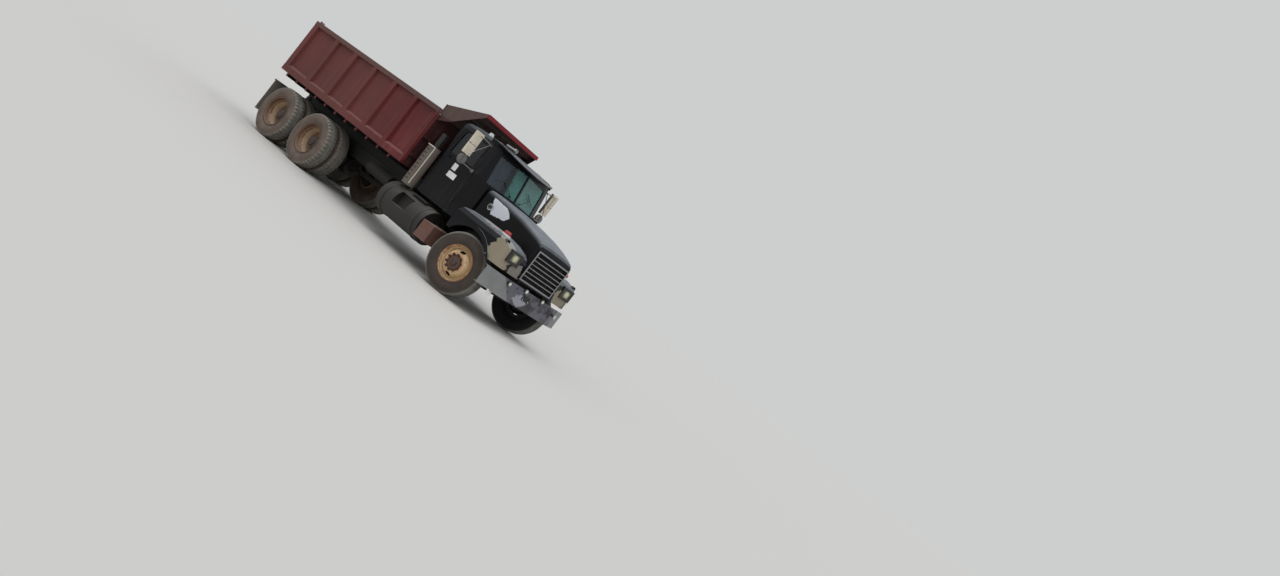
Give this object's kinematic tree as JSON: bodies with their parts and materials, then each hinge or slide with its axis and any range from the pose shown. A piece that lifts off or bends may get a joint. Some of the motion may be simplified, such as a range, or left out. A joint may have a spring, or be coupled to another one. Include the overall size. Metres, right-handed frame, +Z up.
{
  "type": "six-wheel tipper truck",
  "caption": "Six-wheel bonneted tipper truck with a black cab, a worn red steel box body with outside ribs and a cab guard, dual rear wheels and a front telescopic hoist.",
  "frame": {"origin": "On the ground under the middle of the truck's overall box, midway between its bumper lamps and its tailgate's ribs.", "axes": "+Y runs from front to rear along the truck, so that its front faces -Y, +X is the truck's left side and +Z is up."},
  "size_m": [2.73, 7.915, 2.949],
  "materials": {
    "frame_paint": "matt black, dusty",
    "bumper_paint": "worn grey paint",
    "cab_paint": "gloss black, dusty",
    "bed_paint": "worn red",
    "tank_metal": "satin black",
    "box_metal": "rusty brown",
    "shield_metal": "dusty tan",
    "axle_iron": "dirty",
    "spring_steel": "scaled",
    "hoist_steel": "polished",
    "rim_cream": "cream, rusty edge",
    "rim_rust": "rusty",
    "tyre_rubber": "dusty",
    "window_glass": "clear",
    "lamp_plastic": "pale",
    "lamp_red": "deep red",
    "grille_metal": "satin",
    "mirror_shell": "white",
    "seat_vinyl": "worn vinyl",
    "dash_plastic": "grained",
    "flap_rubber": "dusty"
  },
  "bodies": {
    "chassis": {"chassis_frame": "frame_paint", "cross_members": "frame_paint", "front_bumper": "bumper_paint", "front_axle_beam": "axle_iron", "front_springs": "spring_steel", "rear_axles": "axle_iron", "rear_springs": "spring_steel", "prop_shafts": "frame_paint", "engine": "axle_iron", "radiator": "frame_paint", "fuel_tanks": "tank_metal", "battery_boxes": "box_metal", "exhaust_stack": "tank_metal", "heat_shield": "shield_metal", "air_tanks": "frame_paint", "mudflaps": "flap_rubber", "tail_lamps": "lamp_red", "steering_gear": "axle_iron", "cab_shell": "cab_paint", "cab_glass": "window_glass", "seats": "seat_vinyl", "dashboard": "dash_plastic", "sun_visor": "cab_paint"},
    "hood_body": {"hood": "cab_paint", "grille": "grille_metal", "headlamps": "lamp_plastic"},
    "bed_body": {"bed_floor": "bed_paint", "bed_sides": "bed_paint", "bulkhead": "bed_paint", "cab_guard": "bed_paint"},
    "tailgate_body": {"tailgate": "bed_paint"},
    "hoist_barrel_body": {"hoist_barrel": "frame_paint"},
    "hoist_stage_1_body": {"hoist_stage_1": "hoist_steel"},
    "hoist_stage_2_body": {"hoist_stage_2": "hoist_steel"},
    "hoist_stage_3_body": {"hoist_stage_3": "hoist_steel"},
    "tie_rod_body": {"tie_rod": "axle_iron"},
    "drag_link_body": {"drag_link": "axle_iron"},
    "pitman_arm_body": {"pitman_arm": "axle_iron"},
    "door_right_body": {"door_right": "cab_paint", "door_glass_right": "window_glass", "mirror_right": "mirror_shell"},
    "knuckle_right_body": {"knuckle_right": "axle_iron"},
    "wheel_front_right": {"front_tyre_right": "tyre_rubber", "front_rim_right": "rim_cream"},
    "wheels_mid_right": {"mid_tyres_right": "tyre_rubber", "mid_rims_right": "rim_rust"},
    "wheels_rear_right": {"rear_tyres_right": "tyre_rubber", "rear_rims_right": "rim_rust"},
    "door_left_body": {"door_left": "cab_paint", "door_glass_left": "window_glass", "mirror_left": "mirror_shell"},
    "knuckle_left_body": {"knuckle_left": "axle_iron"},
    "wheel_front_left": {"front_tyre_left": "tyre_rubber", "front_rim_left": "rim_cream"},
    "wheels_mid_left": {"mid_tyres_left": "tyre_rubber", "mid_rims_left": "rim_rust"},
    "wheels_rear_left": {"rear_tyres_left": "tyre_rubber", "rear_rims_left": "rim_rust"}
  },
  "joints": [
    {"name": "bed_tilt", "type": "hinge", "parent": "chassis", "child": "bed_body", "pos_m": [0, 3.6775, 1.12], "axis": [-1, 0, 0], "range_deg": [0, 45]},
    {"name": "tailgate_swing", "type": "hinge", "parent": "bed_body", "child": "tailgate_body", "pos_m": [0, 3.8825, 2.531], "axis": [1, 0, 0], "range_deg": [0, 85]},
    {"name": "hood_tilt", "type": "hinge", "parent": "chassis", "child": "hood_body", "pos_m": [0, -3.8475, 0.925], "axis": [1, 0, 0], "range_deg": [0, 55]},
    {"name": "door_right_hinge", "type": "hinge", "parent": "chassis", "child": "door_right_body", "pos_m": [-1.014, -2.0665, 1.6], "axis": [0, 0, 1], "range_deg": [0, 65]},
    {"name": "door_left_hinge", "type": "hinge", "parent": "chassis", "child": "door_left_body", "pos_m": [1.014, -2.0665, 1.6], "axis": [0, 0, -1], "range_deg": [0, 65]},
    {"name": "steer_left", "type": "hinge", "parent": "chassis", "child": "knuckle_left_body", "pos_m": [0.88, -3.0725, 0.55], "axis": [0, 0, 1], "range_deg": [-49, 21]},
    {"name": "steer_right", "type": "hinge", "parent": "chassis", "child": "knuckle_right_body", "pos_m": [-0.88, -3.0725, 0.55], "axis": [0, 0, 1], "range_deg": [-49, 21]},
    {"name": "tie_rod_pivot", "type": "hinge", "parent": "knuckle_left_body", "child": "tie_rod_body", "pos_m": [0.83645, -2.89785, 0.446], "axis": [0, 0, 1], "range_deg": [-21, 49]},
    {"name": "drag_link_pivot", "type": "hinge", "parent": "knuckle_left_body", "child": "drag_link_body", "pos_m": [0.92355, -3.24715, 0.67], "axis": [0, 0, 1], "range_deg": [-21, 49]},
    {"name": "pitman_pivot", "type": "hinge", "parent": "chassis", "child": "pitman_arm_body", "pos_m": [0.57, -3.1325, 0.703], "axis": [0, 0, 1], "range_deg": [-49, 21]},
    {"name": "wheel_front_right_spin", "type": "hinge", "parent": "knuckle_right_body", "child": "wheel_front_right", "pos_m": [-0.88, -3.0725, 0.55], "axis": [0.9703, 0.2419, 0], "continuous": true},
    {"name": "wheels_mid_right_spin", "type": "hinge", "parent": "chassis", "child": "wheels_mid_right", "pos_m": [-0.912, 1.8675, 0.55], "axis": [1, 0, 0], "continuous": true},
    {"name": "wheels_rear_right_spin", "type": "hinge", "parent": "chassis", "child": "wheels_rear_right", "pos_m": [-0.912, 3.1875, 0.55], "axis": [1, 0, 0], "continuous": true},
    {"name": "wheel_front_left_spin", "type": "hinge", "parent": "knuckle_left_body", "child": "wheel_front_left", "pos_m": [0.88, -3.0725, 0.55], "axis": [0.9703, 0.2419, 0], "continuous": true},
    {"name": "wheels_mid_left_spin", "type": "hinge", "parent": "chassis", "child": "wheels_mid_left", "pos_m": [0.912, 1.8675, 0.55], "axis": [1, 0, 0], "continuous": true},
    {"name": "wheels_rear_left_spin", "type": "hinge", "parent": "chassis", "child": "wheels_rear_left", "pos_m": [0.912, 3.1875, 0.55], "axis": [1, 0, 0], "continuous": true},
    {"name": "hoist_lean", "type": "hinge", "parent": "chassis", "child": "hoist_barrel_body", "pos_m": [0, -0.8625, 1], "axis": [-1, 0, 0], "range_deg": [0, 25.69]},
    {"name": "hoist_slide_1", "type": "slide", "parent": "hoist_barrel_body", "child": "hoist_stage_1_body", "axis": [0, 0.0559, 0.9984], "range_m": [0, 1.1213]},
    {"name": "hoist_slide_2", "type": "slide", "parent": "hoist_stage_1_body", "child": "hoist_stage_2_body", "axis": [0, 0.0559, 0.9984], "range_m": [0, 1.1213]},
    {"name": "hoist_slide_3", "type": "slide", "parent": "hoist_stage_2_body", "child": "hoist_stage_3_body", "axis": [0, 0.0559, 0.9984], "range_m": [0, 1.1213]}
  ],
  "couplings": [
    {"joint": "steer_right", "follows": "steer_left", "ratio": 1},
    {"joint": "tie_rod_pivot", "follows": "steer_left", "ratio": -1},
    {"joint": "drag_link_pivot", "follows": "steer_left", "ratio": -1},
    {"joint": "pitman_pivot", "follows": "steer_left", "ratio": 1},
    {"joint": "hoist_lean", "follows": "bed_tilt", "ratio": 0.56969},
    {"joint": "hoist_slide_1", "follows": "bed_tilt", "m_per_rad": 1.427},
    {"joint": "hoist_slide_2", "follows": "bed_tilt", "m_per_rad": 1.427},
    {"joint": "hoist_slide_3", "follows": "bed_tilt", "m_per_rad": 1.427}
  ]
}
